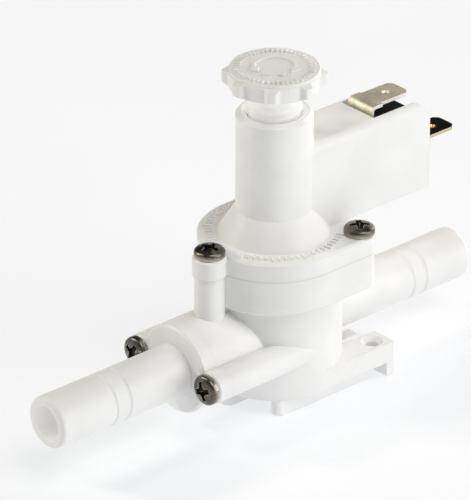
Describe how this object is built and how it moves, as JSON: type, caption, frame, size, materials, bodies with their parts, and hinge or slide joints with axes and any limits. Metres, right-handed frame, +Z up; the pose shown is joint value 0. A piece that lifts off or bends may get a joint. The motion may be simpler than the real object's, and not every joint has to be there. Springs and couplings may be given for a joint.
{
  "type": "in-line water pressure switch",
  "caption": "White moulded in-line water pressure switch with push-fit pipe stems, a diaphragm cover with a spring tower, a lobed adjusting knob and a side switch with spade terminals.",
  "frame": {"origin": "on the ground, under the middle foot rib, on the axis of the spring tower", "axes": "+X along the pipe towards the outlet, +Z up along the spring tower, the switch housing on the +X side"},
  "size_m": [0.1196, 0.034, 0.0777],
  "materials": {
    "white_plastic": "moulded, light gloss",
    "knob_plastic": "moulded, light gloss",
    "inner_plastic": "moulded",
    "switch_plastic": "moulded",
    "plunger_plastic": "moulded",
    "screw_steel": "dark nickel plate",
    "spring_steel": "drawn wire",
    "terminal_metal": "tin-plated strip",
    "blade_brass": "rolled strip",
    "contact_silver": "silver contact",
    "rubber": "moulded"
  },
  "bodies": {
    "housing": {"valve_body": "white_plastic", "inlet_stem": "white_plastic", "inlet_o_ring": "rubber", "inlet_screws": "screw_steel", "check_spring": "spring_steel", "diaphragm": "rubber", "pressure_spring": "spring_steel", "cover": "white_plastic", "cover_screws": "screw_steel", "switch_case": "switch_plastic", "switch_lid": "switch_plastic", "fixed_contact": "contact_silver", "return_spring": "spring_steel", "com_terminal": "terminal_metal", "end_terminal": "terminal_metal"},
    "check_valve": {"check_poppet": "inner_plastic", "check_seal": "rubber"},
    "pressure_plate": {"piston": "inner_plastic"},
    "follower": {"spring_follower": "inner_plastic"},
    "knob": {"adjuster_knob": "knob_plastic"},
    "plunger": {"switch_plunger": "plunger_plastic"},
    "blade": {"contact_blade": "blade_brass", "moving_contact": "contact_silver"}
  },
  "joints": [
    {"name": "knob_turn", "type": "hinge", "parent": "follower", "child": "knob", "pos_m": [0, 0, 0.07], "axis": [0, 0, 1], "range_deg": [-905, 365]},
    {"name": "follower_slide", "type": "slide", "parent": "housing", "child": "follower", "axis": [0, 0, 1], "range_m": [-0.005, 0.002], "deforming": ["pressure_spring"]},
    {"name": "pressure_plate_lift", "type": "slide", "parent": "housing", "child": "pressure_plate", "axis": [0, 0, 1], "range_m": [0, 0.001], "stiffness_N_per_m": 2000, "springref_m": -0.004, "deforming": ["pressure_spring", "diaphragm"]},
    {"name": "plunger_press", "type": "slide", "parent": "housing", "child": "plunger", "axis": [0, 0, 1], "range_m": [0, 0.001]},
    {"name": "blade_rock", "type": "hinge", "parent": "housing", "child": "blade", "pos_m": [0.0255, 0, 0.0463], "axis": [0, 1, 0], "range_deg": [0, 5.6], "deforming": ["return_spring"]},
    {"name": "check_valve_open", "type": "slide", "parent": "housing", "child": "check_valve", "axis": [1, 0, 0], "range_m": [0, 0.0025], "stiffness_N_per_m": 100, "springref_m": -0.002, "deforming": ["check_spring"]}
  ],
  "couplings": [
    {"joint": "knob_turn", "follows": "follower_slide", "rad_per_m": 3141.6},
    {"joint": "plunger_press", "follows": "pressure_plate_lift", "ratio": 1},
    {"joint": "blade_rock", "follows": "pressure_plate_lift", "rad_per_m": 96.154}
  ]
}
